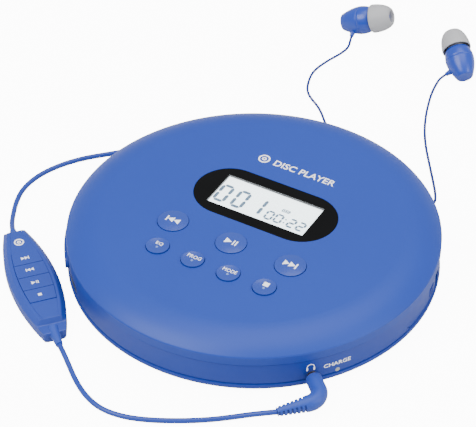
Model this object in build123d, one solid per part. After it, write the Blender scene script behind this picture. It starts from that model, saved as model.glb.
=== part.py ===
from build123d import *

import math
import os

# A round portable CD player with its earphones plugged in. Millimetres, +Z up. The origin is on the
# ground under the middle of the case, the front faces -Y and the lid hinge is at the back, +Y.

# ---- case ----
CASE_R = 69.6                # side wall of the base
LIP_R = 70.0                 # bead round the foot of the wall
LID_R = 69.9                 # side of the lid
FLOOR_Z = 1.2                # underside of the base, held up by the feet
FLOOR = 1.6                  # thickness of the base's floor
WALL = 1.6                   # thickness of the base's wall
LIP_Z = 4.1                  # top of the bead
GROOVE = 0.4                 # shadow line above the bead
SEAM_Z = 13.3                # top of the base's wall
SEAM_GAP = 0.4
LID_EDGE_Z = 17.0            # top of the lid's straight side
CROWN_R = 57.0               # the crown is almost flat inside this radius
CROWN_Z = 22.2
TOP_Z = 22.4
LID_WALL = 1.6

# ---- disc and deck ----
DISC_R = 60.0
DISC_Z = 13.4                # underside of a loaded disc
DECK_Z = 12.0
DECK = 1.2
WELL_R = 61.6
WELL_RIM_Z = 13.0
HUB_R = 7.4

# ---- traverse: the pickup runs along -Y on two rods ----
ROD_X = 15.5
ROD_Z = 7.6
ROD_R = 1.0
SCREW_X = 22.0
LENS_Y = -24.0               # lens at the start of the disc's tracks
PLATE_Z = 8.8
PLATE = 1.2

# ---- hinge ----
HINGE_Y = 66.0
HINGE_Z = 9.0
HINGE_PIN_R = 1.0
HINGE_BARREL_R = 3.4
HINGE_HALF = 15.6
RUN = 0.05                   # radial clearance of a running fit

# ---- keys on the lid ----
KEY_GAP = 0.2
BIG_KEY_R = 5.8
BIG_KEY_Y = -17.0
BIG_KEY_PITCH = 24.8
SMALL_KEY_R = 4.3
SMALL_KEY_Y = -31.8
SMALL_KEY_PITCH = 14.9
BOARD_Z = 18.2               # underside of the key board in the lid
BOARD = 0.8

# ---- display ----
WINDOW_Y = 8.5
WINDOW_L = 58.0
WINDOW_W = 27.3
DISPLAY_L = 40.6
DISPLAY_W = 16.9

# ---- features of the side wall, by their angle round the case ----
JACK_ANGLE = -43.2
JACK_Z = 6.0
LED_ANGLE = -35.1
LED_Z = 5.5
USB_ANGLE = -133.2
USB_Z = 7.2
SLIDER_ANGLE = 3.4
SLIDER_Z = 7.9
VOLUME_ANGLE = -148.5
VOLUME_Z = 9.2

# ---- earphones ----
CORD_D = 2.0                 # lead from the plug to the splitter
THIN_D = 1.1                 # lead of one ear
REMOTE_AT = (-62.8, -54.2)
REMOTE_TURN = -40.8          # direction of the remote's long axis, degrees
REMOTE_L = 58.7
REMOTE_W = 18.4
REMOTE_END_W = 8.2
REMOTE_H = 6.4
REMOTE_SPLIT_Z = 3.3
REMOTE_BEVEL = 1.9
BUD_TILT = 20.1              # an earbud lies on its flank with the tip raised
BUD_Z = 3.6                  # height of the middle of its back
BUD_EXIT = 6.0               # where its lead comes out, from the back


def save(node, shape):
    solids = shape.solids()
    body = solids[0] if len(solids) == 1 else Compound(children=list(solids))
    export_step(body, f"parts/{node}.step")


def at_angle(radius, degrees, z=0.0):
    a = math.radians(degrees)
    return (radius * math.cos(a), radius * math.sin(a), z)


def disc(radius, low, high, x=0.0, y=0.0):
    return Pos(x, y, (low + high) / 2) * Cylinder(radius, high - low)


def ring(outer, inner, low, high, x=0.0, y=0.0):
    return disc(outer, low, high, x, y) - disc(inner, low - 1, high + 1, x, y)


def block(x, y, z):
    """A box from its low and high limits along each axis."""
    size = [high - low for low, high in (x, y, z)]
    return Pos(*[(low + high) / 2 for low, high in (x, y, z)]) * Box(*size)


def rod_y(radius, x, z, low, high):
    return Pos(x, (low + high) / 2, z) * Rot(90, 0, 0) * Cylinder(radius, high - low)


def rod_x(radius, y, z, low, high):
    return Pos((low + high) / 2, y, z) * Rot(0, 90, 0) * Cylinder(radius, high - low)


def outward(degrees, radius, z):
    """A frame on the side wall: its own Z points out of the case, its own Y up."""
    return Rot(0, 0, degrees) * Pos(radius, 0, z) * Rot(0, 90, 0) * Rot(0, 0, 90)


def turned(outline):
    """A solid of revolution about Z from (radius, z) points."""
    return revolve(make_face(Polyline(*[(r, 0, z) for r, z in outline], close=True)), Axis.Z)


def sector(outer, inner, low, high, start, end):
    """Part of a ring between two angles."""
    section = Polyline((inner, 0, low), (outer, 0, low), (outer, 0, high), (inner, 0, high), close=True)
    return Rot(0, 0, start) * revolve(make_face(section), Axis.Z, end - start)


def stadium(length, width, low, high, x=0.0, y=0.0):
    return Pos(x, y, low) * extrude(SlotOverall(length, width), high - low)


def wall_pill(degrees, length, height, z, inner, outer):
    """A pill-shaped block that follows the round wall between two radii."""
    bar = outward(degrees, 0, z) * extrude(SlotOverall(length, height), outer + 5)
    return bar & ring(outer, inner, z - height, z + height)


def wall_bar(degrees, length, height, z, inner, outer):
    """A square-cornered block that follows the round wall between two radii."""
    bar = outward(degrees, (inner + outer) / 2, z) * Box(length, height, outer - inner + 6)
    return bar & ring(outer, inner, z - height, z + height)


# ---------------------------------------------------------------- base
POST_R = 58.0
POST_ANGLES = (35, 145, -160, -20)
DAMPERS = ((-25.0, -44.0), (29.0, -44.0), (0.0, 20.0))
FOOT_R = 52.0
FOOT_ANGLES = (45, 135, 225, 315)
SLOT_TRAVEL = 3.6            # how far the lid slider moves along the wall
SLIDER_L = 27.0
SLIDER_H = 6.4
VOLUME_L = 21.0
VOLUME_H = 4.8
BUSH_NECK_R = 2.5
BUSH_HOLE_R = 1.3
SWITCH_ANGLE = 42.0          # the switch that feels whether the lid is shut
BOARD_FLOOR_Z = 3.4          # underside of the main board
WIRE_R = 0.4                 # wire spring of the latch


def lid_slot(clear):
    length = SLIDER_L + SLOT_TRAVEL + 2 * clear
    middle = SLIDER_ANGLE + math.degrees(SLOT_TRAVEL / 2 / CASE_R)
    return wall_pill(middle, length, SLIDER_H + 2 * clear, SLIDER_Z, 60, 75)


def bottom_case():
    inner = CASE_R - WALL
    outline = [(0, FLOOR_Z), (67.8, FLOOR_Z), (69.1, 1.65), (69.8, 2.5), (LIP_R, 3.4), (69.9, LIP_Z),
               (CASE_R - GROOVE, LIP_Z + 0.15), (CASE_R - GROOVE, LIP_Z + 0.4), (CASE_R, LIP_Z + 0.6),
               (CASE_R, SEAM_Z), (inner, SEAM_Z), (inner, FLOOR_Z + FLOOR), (0, FLOOR_Z + FLOOR)]
    case = turned(outline)
    top = FLOOR_Z + FLOOR
    for a in POST_ANGLES:
        x, y, _ = at_angle(POST_R, a)
        case += disc(3.6, top - 0.2, 4.6, x, y)
    for x, y in DAMPERS:
        case += disc(3.2, top - 0.2, 7.4, x, y) + disc(BUSH_HOLE_R - 0.1, 7.3, 10.6, x, y)
    for a in (-165, -120, -75, -45, -5):
        case += disc(1.6, top - 0.2, BOARD_FLOOR_Z, *at_angle(48.0, a)[:2])
    for side in (-1, 1):
        cheek = block(sorted((side * 17.7, side * 21.0)), (63.4, CASE_R), (top - 0.2, 12.5))
        case += cheek & disc(inner + 0.4, 0, SEAM_Z)
    case -= block((-17.5, 17.5), (60, 75), (5.2, SEAM_Z + 1)) & ring(75, inner - 0.01, 5.2, SEAM_Z + 1)
    for side in (-1, 1):
        case -= rod_x(HINGE_PIN_R, HINGE_Y, HINGE_Z, *sorted((side * 10.0, side * 20.0)))
    for a in POST_ANGLES:
        x, y, _ = at_angle(POST_R, a)
        case -= disc(2.5, 0, 3.0, x, y) + disc(1.2, 0, 6, x, y)
    for a in FOOT_ANGLES:
        x, y, _ = at_angle(FOOT_R, a)
        case -= disc(5.1, 0, FLOOR_Z + 0.5, x, y)
    case -= outward(JACK_ANGLE, 64, JACK_Z) * Pos(0, 0, 5) * Cylinder(2.6, 10)
    case -= outward(LED_ANGLE, 64, LED_Z) * Pos(0, 0, 5) * Cylinder(0.9, 10)
    case -= outward(USB_ANGLE, 64, USB_Z) * extrude(SlotOverall(9.5, 3.7), 10)
    case -= lid_slot(0.2)
    case -= wall_pill(VOLUME_ANGLE, VOLUME_L + 0.7, VOLUME_H + 0.6, VOLUME_Z, 60, 75)
    return case


def disc_deck():
    top = DECK_Z
    deck = turned([(15.8, top - DECK), (67.7, top - DECK), (67.7, WELL_RIM_Z), (WELL_R, WELL_RIM_Z),
                   (WELL_R, top), (15.8, top)])
    deck -= block((-13, 13), (-61.4, 5), (top - 3, top + 3))
    for a in POST_ANGLES:
        x, y, _ = at_angle(POST_R, a)
        deck += disc(2.6, 4.6, top - DECK + 0.1, x, y)
        deck -= disc(1.0, 0, 9.2, x, y)
    deck -= block((-21.4, 21.4), (62.4, 70), (9, 14))
    deck -= sector(68, 62.2, 9, 14, SLIDER_ANGLE - 6, SLIDER_ANGLE + 6)
    deck -= sector(68, 65.7, 9, 12.1, SLIDER_ANGLE - 14, SLIDER_ANGLE + 17)
    deck -= sector(68, 61.7, 9, 12.1, VOLUME_ANGLE - 11, VOLUME_ANGLE + 11)
    deck -= disc(0.9, 9, 14, *at_angle(65.4, SWITCH_ANGLE)[:2])
    for side in (-1, 1):
        deck += outward(SLIDER_ANGLE + side * 10.5, 64.3, 9.9) * Box(2.4, 2.0, 2.4)
    return deck - latch_wire()


def latch_wire():
    """Steel wire across the nose of the lid's hook; its ends are held under the deck."""
    ends = [at_angle(r, SLIDER_ANGLE + a, 10.05) for r, a in ((64.1, -11.5), (65.4, -5), (65.4, 5), (64.1, 11.5))]
    path = FilletPolyline(*ends, radius=[3.0, 3.0])
    start = Plane(origin=path @ 0, z_dir=path % 0)
    return sweep(start * Circle(WIRE_R), path)


def main_board():
    """A horseshoe board with its chips, two capacitors and the volume switch behind the rocker."""
    low, high = BOARD_FLOOR_Z, BOARD_FLOOR_Z + 1.0
    board = sector(65.6, 45.0, low, high, -172, 16)
    board += block((38, 50), (-16, -4), (high - 0.1, high + 1.4))
    board += block((-53, -44), (-8, 1), (high - 0.1, high + 1.2))
    board += block((-18, -8), (-58, -48), (high - 0.1, high + 1.0))
    board += disc(2.6, high - 0.1, high + 3.4, 50, -31) + disc(2.6, high - 0.1, high + 3.4, 43, -27)
    for x, y in [at_angle(POST_R, a)[:2] for a in POST_ANGLES] + list(DAMPERS):
        board -= disc(4.0, 0, 12, x, y)
    board -= outward(JACK_ANGLE, 60.9, JACK_Z) * Box(6.8, 8.0, 12.0)
    switch = outward(VOLUME_ANGLE, 60.5, 0) * Pos(0, 7.95, 3.2) * Box(7.0, 7.3, 3.6)
    switch += outward(VOLUME_ANGLE, 62.2, 0) * Pos(0, 5.6, 2.6) * Box(4.4, 1.2, 3.8)
    switch += outward(VOLUME_ANGLE, 62.2, 0) * Pos(0, 11.0, 2.6) * Box(4.4, 1.0, 3.8)
    return board + switch - disc(0.8 + RUN, 4.9, 13, *at_angle(65.6, VOLUME_ANGLE)[:2])


def battery():
    pack = block((-24, 24), (26, 56), (FLOOR_Z + FLOOR, 8.4))
    return fillet(pack.edges().filter_by(Axis.Z), 2.5)


def traverse_frame():
    low, high = PLATE_Z, PLATE_Z + PLATE
    plate = block((-19, 19), (-64.3, 14), (low, high)) + disc(13.5, low, high)
    for x, y in DAMPERS:
        plate += disc(5.0, low, high, x, y)
    plate += block((-25, -18), (-49, -39), (low, high)) + block((18, 29), (-49, -39), (low, high))
    plate += block((-5, 5), (12, 20), (low, high))
    plate -= block((-13.4, 13.4), (-62.2, -13), (low - 1, high + 1))
    for x, y in DAMPERS:
        plate -= disc(BUSH_NECK_R, low - 1, high + 1, x, y)
    for x in (-ROD_X, ROD_X):
        for y in (-64.3, -12.5):
            plate += block((x - 2, x + 2), (y, y + 2.1), (5.8, low + 0.1))
    plate += block((SCREW_X - 4.5, SCREW_X + 2.4), (-60.5, -58.3), (5.2, low + 0.1))
    plate += block((SCREW_X - 4.5, SCREW_X + 2.4), (-60.5, -56.5), (low, high))
    plate += block((SCREW_X - 4.5, SCREW_X + 3), (-9.5, -7.5), (5.2, low + 0.1))
    plate += block((SCREW_X - 4.5, SCREW_X + 3), (-12, -7.5), (low, high))
    for x in (-ROD_X, ROD_X):
        plate -= rod_y(ROD_R, x, ROD_Z, -63.8, -10.9)
    plate -= rod_y(ROD_R + RUN, SCREW_X, ROD_Z - 0.2, -60.0, -7.0)
    plate -= disc(3.1, low - 1, high + 1)
    return plate


def damper_bushes():
    bushes = []
    for x, y in DAMPERS:
        spool = disc(4.0, 7.4, PLATE_Z, x, y) + disc(BUSH_NECK_R, 7.4, 10.6, x, y)
        spool += disc(4.0, PLATE_Z + PLATE, 10.6, x, y)
        bushes.append(spool - disc(BUSH_HOLE_R, 7, 11, x, y))
    return Compound(children=bushes)


def spindle_motor():
    can = disc(11.0, 3.9, PLATE_Z) + disc(3.0, PLATE_Z - 0.1, PLATE_Z + 1.8)
    can = fillet(can.edges().group_by(Axis.Z)[0], 0.6)
    return can - disc(0.9 + RUN, 4.6, 12)


def turntable():
    table = disc(14.2, 12.5, DISC_Z) + disc(HUB_R, DISC_Z - 0.1, 15.2) + disc(4.2, 11.2, 12.6)
    table += disc(0.9, 5.2, 11.4)
    table = chamfer(table.edges().group_by(Axis.Z)[-1], 0.7)
    for x, y, _ in [at_angle(HUB_R, a) for a in (90, 210, 330)]:
        table -= Pos(x * 0.9, y * 0.9, 14.35) * Sphere(1.0)
    return table


def chuck_balls():
    return Compound(children=[Pos(x * 0.9, y * 0.9, 14.35) * Sphere(0.98)
                              for x, y, _ in [at_angle(HUB_R, a) for a in (90, 210, 330)]])


def guide_rods():
    return Compound(children=[rod_y(ROD_R, x, ROD_Z, -63.8, -10.9) for x in (-ROD_X, ROD_X)])


def optical_pickup():
    """The laser sled: body, two ears that slide on the rods, and the nut on the lead screw."""
    y = LENS_Y
    sled = block((-11.5, 11.5), (y - 3.9, y + 8), (5.6, 11.0))
    sled = chamfer(sled.edges().filter_by(Axis.Z).group_by(Axis.Y)[-1], 2.0)
    sled += disc(5.4, 10.9, 11.5, 0, y) & block((-6, 6), (y - 3.9, y + 6), (10, 12))
    for side in (-1, 1):
        near, far = ROD_X - 4.2, ROD_X + 1.9
        sled += block(sorted((side * near, side * far)), (y - 2, y + 8.6), (5.9, 8.5))
    sled += block((ROD_X, SCREW_X + 1.9), (y + 1, y + 8.6), (5.9, 8.5))
    for x in (-ROD_X, ROD_X):
        sled -= rod_y(ROD_R + RUN, x, ROD_Z, y - 20, y + 20)
    sled -= rod_y(ROD_R + RUN, SCREW_X, ROD_Z - 0.2, y - 20, y + 20)
    return sled - disc(3.2, 9.8, 12, 0, y)


def objective_lens():
    y = LENS_Y
    lens = ring(3.0, 2.2, 9.8, 11.7, 0, y) + disc(2.3, 10.2, 11.0, 0, y)
    dome = Pos(0, y, 11.0 - 2.6) * Sphere(3.4) & disc(2.25, 10.9, 12.2, 0, y)
    return lens + dome


def sled_motor():
    can = rod_y(3.3, SCREW_X, ROD_Z - 0.2, -7.5, 7.0)
    return can - rod_y(ROD_R + RUN, SCREW_X, ROD_Z - 0.2, -8, 0)


def lead_screw():
    return rod_y(ROD_R, SCREW_X, ROD_Z - 0.2, -59.9, -0.5)


def headphone_socket():
    """The jack: a block in a notch of the board, with a round nose that fills the hole in the wall."""
    body = outward(JACK_ANGLE, 55.0, JACK_Z) * Pos(0, -0.05, 5.8) * Box(6.6, 6.2, 11.6)
    nose = outward(JACK_ANGLE, 66.0, JACK_Z) * Pos(0, 0, 1.7) * Cylinder(2.6, 3.6)
    return body + nose - outward(JACK_ANGLE, 55.8, JACK_Z) * Pos(0, 0, 8) * Cylinder(1.78, 16)


def usb_socket():
    shell = outward(USB_ANGLE, 61.0, USB_Z) * extrude(SlotOverall(9.0, 3.2), 8.4)
    mouth = outward(USB_ANGLE, 62.5, USB_Z) * extrude(SlotOverall(8.2, 2.4), 8)
    tongue = outward(USB_ANGLE, 62.0, USB_Z) * Pos(0, 0, 3.4) * Box(6.4, 0.7, 6.8)
    saddle = outward(USB_ANGLE, 61.0, USB_Z) * Pos(0, -2.15, 2.2) * Box(8.0, 1.3, 4.4)
    return shell - mouth + tongue + saddle


def charge_led():
    led = outward(LED_ANGLE, 63.5, LED_Z) * Pos(0, 0, 3.05) * Cylinder(0.88, 6.1)
    return led + outward(LED_ANGLE, 62.0, LED_Z) * Pos(0, 0.1, 0.9) * Box(3.0, 2.4, 1.8)


def hinge_pins():
    return Compound(children=[rod_x(HINGE_PIN_R, HINGE_Y, HINGE_Z, *sorted((s * 10.2, s * 19.8)))
                              for s in (-1, 1)])


def latch_spring():
    return latch_wire()


def lid_switch():
    body = outward(SWITCH_ANGLE, 63.2, 9.2) * Pos(0, 0, 1.7) * Box(5.0, 3.2, 3.4)
    x, y, _ = at_angle(65.4, SWITCH_ANGLE)
    return body + disc(0.7, 10.6, 13.1, x, y)


def rubber_feet():
    feet = [disc(5.0, 0, FLOOR_Z + 0.5, *at_angle(FOOT_R, a)[:2]) for a in FOOT_ANGLES]
    return Compound(children=[chamfer(f.edges().group_by(Axis.Z)[0], 0.3) for f in feet])


def case_screws():
    screws = []
    for a in POST_ANGLES:
        x, y, _ = at_angle(POST_R, a)
        screw = disc(2.2, 1.7, 3.0, x, y) + disc(1.0, 2.9, 9.0, x, y)
        screw -= block((x - 1.3, x + 1.3), (y - 0.25, y + 0.25), (1, 2.3))
        screw -= block((x - 0.25, x + 0.25), (y - 1.3, y + 1.3), (1, 2.3))
        screws.append(screw)
    return Compound(children=screws)


# ---------------------------------------------------------------- lid
KEYS = {"previous_key": (-1, True), "play_key": (0, True), "next_key": (1, True),
        "equaliser_key": (-1.5, False), "program_key": (-0.5, False), "mode_key": (0.5, False),
        "stop_key": (1.5, False)}
LID_POSTS = (18, 162, -38, -142)
LID_POST_R = 50.0
LINER_Z = 16.4
LINER = 1.0
INNER_Z = TOP_Z - 1.8        # underside of the crown


def key_place(step, big):
    if big:
        return step * BIG_KEY_PITCH, BIG_KEY_Y, BIG_KEY_R
    return step * SMALL_KEY_PITCH, SMALL_KEY_Y, SMALL_KEY_R


def lid_outline():
    """Half section of the lid's outer skin, from the axis to the foot of its side."""
    crown = ThreePointArc((0, 0, TOP_Z), (CROWN_R / 2, 0, TOP_Z - 0.05), (CROWN_R, 0, CROWN_Z))
    edge = (69.6, 0, LID_EDGE_Z + 0.45)
    shoulder = TangentArc(crown @ 1, edge, tangent=(1, 0, -0.01))
    corner = Line(edge, (LID_R, 0, LID_EDGE_Z))
    side = Line(corner @ 1, (LID_R, 0, SEAM_Z + SEAM_GAP))
    return crown, shoulder, corner, side


def lid_shell():
    crown, shoulder, corner, side = lid_outline()
    inner_r = LID_R - LID_WALL
    foot = Line(side @ 1, (inner_r, 0, SEAM_Z + SEAM_GAP))
    inside = Polyline(foot @ 1, (inner_r, 0, 16.2), (66.6, 0, 17.0), (61.5, 0, 19.4), (56.0, 0, INNER_Z),
                      (0, 0, INNER_Z), (0, 0, TOP_Z))
    shell = revolve(make_face([crown, shoulder, corner, side, foot, inside]), Axis.Z)
    for a in LID_POSTS:
        x, y, _ = at_angle(LID_POST_R, a)
        shell += disc(2.4, LINER_Z + LINER, INNER_Z + 0.1, x, y)
        shell -= disc(0.8, LINER_Z, 20.2, x, y)
    for step, big in KEYS.values():
        x, y, r = key_place(step, big)
        shell -= disc(r + KEY_GAP, 15, 25, x, y)
    shell -= stadium(WINDOW_L + 0.2, WINDOW_W + 0.2, TOP_Z - 1.1, 25, 0, WINDOW_Y)
    shell -= Pos(0, WINDOW_Y, 20) * Box(DISPLAY_L + 1.6, DISPLAY_W + 1.6, 12)
    return shell


def lid_liner():
    """Inner cover of the lid, with a raised ring that keeps the disc from rattling."""
    low, high = LINER_Z, LINER_Z + LINER
    liner = turned([(0, low), (66.2, low), (66.2, high - 0.4), (65.6, high), (0, high)])
    liner += ring(12.5, 11.0, low - 0.6, low + 0.1)
    liner += disc(0.9, 13.2, low + 0.1, *at_angle(65.2, SWITCH_ANGLE)[:2])
    for a in LID_POSTS:
        x, y, _ = at_angle(LID_POST_R, a)
        liner -= disc(2.1, low - 1, low + 0.6, x, y) + disc(0.8, low, high + 1, x, y)
    return liner


def hinge_block():
    """The lid's hinge: a riser from the liner down to a barrel round the pins."""
    riser = block((-HINGE_HALF, HINGE_HALF), (62.8, 70), (HINGE_Z, LINER_Z))
    riser &= disc(68.0, HINGE_Z, LINER_Z) + disc(69.3, HINGE_Z, SEAM_Z)
    barrel = rod_x(HINGE_BARREL_R, HINGE_Y, HINGE_Z, -HINGE_HALF, HINGE_HALF)
    return riser + barrel - rod_x(HINGE_PIN_R + RUN, HINGE_Y, HINGE_Z, -20, 20)


def lid_hook():
    """The catch on the lid: a leg through the deck with an outward nose under the wire spring."""
    leg = sector(64.6, 63.2, 8.0, LINER_Z, SLIDER_ANGLE - 2.6, SLIDER_ANGLE + 2.6)
    nose = sector(65.4, 64.5, 8.0, 9.4, SLIDER_ANGLE - 2.6, SLIDER_ANGLE + 2.6)
    return leg + nose


def lid_screws():
    screws = []
    for a in LID_POSTS:
        x, y, _ = at_angle(LID_POST_R, a)
        screw = disc(1.9, LINER_Z, LINER_Z + 0.6, x, y) + disc(0.8, LINER_Z + 0.5, 20.0, x, y)
        screw -= block((x - 1.1, x + 1.1), (y - 0.2, y + 0.2), (LINER_Z - 1, LINER_Z + 0.35))
        screw -= block((x - 0.2, x + 0.2), (y - 1.1, y + 1.1), (LINER_Z - 1, LINER_Z + 0.35))
        screws.append(screw)
    return Compound(children=screws)


def display_window():
    return stadium(WINDOW_L, WINDOW_W, TOP_Z - 1.1, TOP_Z - 0.1, 0, WINDOW_Y)


def display_module():
    panel = Pos(0, WINDOW_Y, 20.2) * Box(DISPLAY_L + 1.2, DISPLAY_W + 1.2, 2.2)
    carrier = Pos(0, WINDOW_Y, 18.8) * Box(DISPLAY_L + 6, DISPLAY_W + 5, 1.0)
    return panel + carrier


def key_board():
    """Circuit board under the keys, with a low dome switch for each."""
    low, high = BOARD_Z, BOARD_Z + BOARD
    board = block((-33, 33), (-39.5, -8.5), (low, high))
    board = fillet(board.edges().filter_by(Axis.Z), 3.0)
    for step, big in KEYS.values():
        x, y, _ = key_place(step, big)
        board += disc(2.5, high - 0.1, high + 0.25, x, y)
    return board


def lid_key(step, big):
    """A key cap: a domed large one or a dished small one, with a flange and a plunger."""
    x, y, r = key_place(step, big)
    low = INNER_Z - 0.4
    rim = TOP_Z + (0.2 if big else 0.4)
    if big:
        ball = 36.0
        cap = disc(r, low, rim + 1, x, y) & Pos(x, y, rim + 0.5 - ball) * Sphere(ball)
    else:
        ball = 24.0
        cap = disc(r, low, rim, x, y) - Pos(x, y, rim - 0.35 + ball) * Sphere(ball)
    cap += disc(r + 0.9, INNER_Z - 0.5, INNER_Z - 0.1, x, y)
    return cap + disc(1.6, BOARD_Z + BOARD + 0.8, INNER_Z - 0.4, x, y)


# ---------------------------------------------------------------- slider and volume
def open_slider():
    """Curved slider in the right side of the wall, with its flange and the cam for the wire."""
    face = wall_pill(SLIDER_ANGLE, SLIDER_L, SLIDER_H, SLIDER_Z, 66.8, CASE_R - 0.3)
    flange = wall_pill(SLIDER_ANGLE, SLIDER_L + 3, SLIDER_H + 1.2, SLIDER_Z, 66.4, 67.7)
    for step in range(3):
        rib = wall_bar(SLIDER_ANGLE + 5.0 + 1.3 * step, 0.7, 4.0, SLIDER_Z, 68, CASE_R - 0.05)
        face += rib
    cam = sector(66.6, 65.9, 10.4, 11.0, SLIDER_ANGLE - 8, SLIDER_ANGLE - 6)
    return face + flange + cam


def volume_rocker():
    key = wall_pill(VOLUME_ANGLE, VOLUME_L, VOLUME_H, VOLUME_Z, 67.0, 70.9)
    for side in (-1, 1):
        key -= wall_pill(VOLUME_ANGLE + side * 5.2, 4.4, 0.7, VOLUME_Z, 70.55, 75)
    key -= outward(VOLUME_ANGLE + 5.2, 70.55, VOLUME_Z) * Pos(0, 0, 2) * Box(0.7, 3.2, 4)
    pivot = outward(VOLUME_ANGLE, 66.0, VOLUME_Z) * Pos(0, 0, 0.6) * Box(3.0, 2.0, 1.6)
    post = disc(0.8, 5.2, 11.4, *at_angle(65.6, VOLUME_ANGLE)[:2])
    return key + pivot + post


# ---------------------------------------------------------------- earphones
def remote_frame():
    return Pos(*REMOTE_AT, 0) * Rot(0, 0, REMOTE_TURN)


def remote_outline(inset):
    """A pointed oval with cut ends, drawn about the remote's middle with its long axis along X."""
    half_l = REMOTE_L / 2 - inset
    half_w = REMOTE_W / 2 - inset
    end = REMOTE_END_W / 2 - inset * 0.6
    top = ThreePointArc((-half_l, end), (0, half_w), (half_l, end))
    low = ThreePointArc((half_l, -end), (0, -half_w), (-half_l, -end))
    return make_face([top, Line(top @ 1, low @ 0), low, Line(low @ 1, top @ 0)])


def remote_panel(inset=0.0):
    """Outline of the four keys together: the middle of a smaller pointed oval."""
    return remote_outline(3.1 + inset) & Pos(-0.5, 0) * Rectangle(28.4 - 2 * inset, 30)


def relief_cone(side):
    """Soft sleeve where a lead enters the remote: a long, stout one below and a short, slim one above."""
    low, length, base, tip = (26.0, 5.5, 2.3, 1.3) if side > 0 else (27.6, 2.2, 1.5, 1.25)
    high = REMOTE_L / 2 + length
    cone = Rot(0, side * 90, 0) * Cone(base, tip, high - low)
    return remote_frame() * Pos(side * (low + high) / 2, 0, 3.2) * cone


def remote_lower_shell():
    shell = extrude(remote_outline(0), REMOTE_SPLIT_Z)
    shell = fillet(shell.edges().group_by(Axis.Z)[0], 1.2)
    shell -= Pos(0, 0, 1.2) * extrude(remote_outline(1.3), 4)
    shell = remote_frame() * shell
    for side in (-1, 1):
        shell -= relief_cone(side)
    return shell


def remote_upper_shell():
    """Upper half: bevelled all round, open for the keys and stepped down where the long relief comes out."""
    high = REMOTE_H - REMOTE_SPLIT_Z
    shell = Pos(0, 0, REMOTE_SPLIT_Z) * extrude(remote_outline(0), high)
    shell = chamfer(shell.edges().group_by(Axis.Z)[-1], REMOTE_BEVEL)
    hollow = remote_outline(1.9) & Pos(-3.5, 0) * Rectangle(52, 30)
    shell -= Pos(0, 0, REMOTE_SPLIT_Z - 1) * extrude(hollow, 2.6)
    shell -= Pos(0, 0, REMOTE_SPLIT_Z) * extrude(remote_panel(), 6)
    step = Polyline((23.2, 0, REMOTE_H + 0.1), (24.6, 0, 4.5), (31, 0, 4.5), (31, 0, REMOTE_H + 0.1), close=True)
    shell -= extrude(make_face(step), 10, both=True)
    shell = remote_frame() * shell
    for side in (-1, 1):
        shell -= relief_cone(side)
    return shell


def remote_board():
    board = Pos(-0.5, 0, 2.4) * Box(33, 9.0, 0.8)
    for i in range(4):
        board += disc(1.6, 2.7, 3.1, REMOTE_KEY_X + i * REMOTE_KEY_PITCH, 0)
    return remote_frame() * board


REMOTE_KEYS = ("remote_next_key", "remote_previous_key", "remote_play_key", "remote_stop_key")
REMOTE_KEY_X = -11.15
REMOTE_KEY_PITCH = 7.1


def remote_key(i):
    x = REMOTE_KEY_X + i * REMOTE_KEY_PITCH
    cell = remote_panel(0.2) & Pos(x, 0) * Rectangle(REMOTE_KEY_PITCH - 0.25, 30)
    cap = Pos(0, 0, 4.3) * extrude(cell, REMOTE_H + 0.25 - 4.3)
    cap += disc(1.3, 3.45, 4.4, x, 0)
    return remote_frame() * cap


def remote_reliefs():
    return Compound(children=[relief_cone(side) for side in (1, -1)])


PLUG_R = 3.0
PLUG_START = 71.0            # where the plug's moulding starts, just clear of the wall
PLUG_ROLL = 4.0              # the boot hangs a little below the jack's axis, degrees
ELBOW_OUT = 82.2             # distance of the boot's axis from the middle of the case
BOOT_START = 5.6
BOOT_END = 16.8
BOOT_RIBS = 7


def plug_frame():
    """Own X points out of the socket, own Y towards the front along the wall."""
    return Rot(0, 0, JACK_ANGLE) * Pos(0, 0, JACK_Z) * Rot(PLUG_ROLL, 0, 0)


def plug_body():
    """Moulded right-angle body: a straight stub, a round elbow and a ribbed boot that tapers."""
    bend = 5.4
    path = FilletPolyline((PLUG_START, 0), (ELBOW_OUT, 0), (ELBOW_OUT, -BOOT_START - 0.4), radius=[bend])
    section = Plane(origin=(PLUG_START, 0, 0), z_dir=(1, 0, 0))
    elbow = sweep(section * Circle(PLUG_R), path)
    length = BOOT_END - BOOT_START - 0.4
    outline = [(0, -0.5), (2.6, -0.5)]
    for i in range(BOOT_RIBS):
        low = max(0.0, length * i / BOOT_RIBS)
        high = length * (i + 0.62) / BOOT_RIBS
        r = 2.75 - 1.2 * i / BOOT_RIBS
        outline += [(r, low), (r - 0.1, high), (r - 0.5, high + 0.05), (r - 0.5, length * (i + 1) / BOOT_RIBS)]
    outline += [(0, length)]
    boot = Pos(ELBOW_OUT, -BOOT_START - 0.4, 0) * Rot(90, 0, 0) * turned(outline)
    return plug_frame() * (elbow + boot)


def plug_pin():
    """3.5 mm pin inside the socket, with its tip and waist."""
    tip = 58.4
    length = PLUG_START - tip
    outline = [(0, 0), (0.9, 0.2), (1.5, 1.4), (1.1, 2.1), (1.75, 2.9), (1.75, length), (0, length)]
    return plug_frame() * Pos(tip, 0, 0) * Rot(0, 90, 0) * turned(outline)


# place of the middle of the back, heading of the tip, and the side on which the lead comes out
BUDS = {"left": ((20.5, 141.4), 132.0, 1), "right": ((-41.9, 151.0), 11.5, -1)}


def bud_frame(side):
    """Own Z runs from the back of an earbud to its tip."""
    (x, y), heading, _ = BUDS[side]
    return Pos(x, y, BUD_Z) * Rot(0, 0, heading) * Rot(0, 90 - BUD_TILT, 0)


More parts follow.
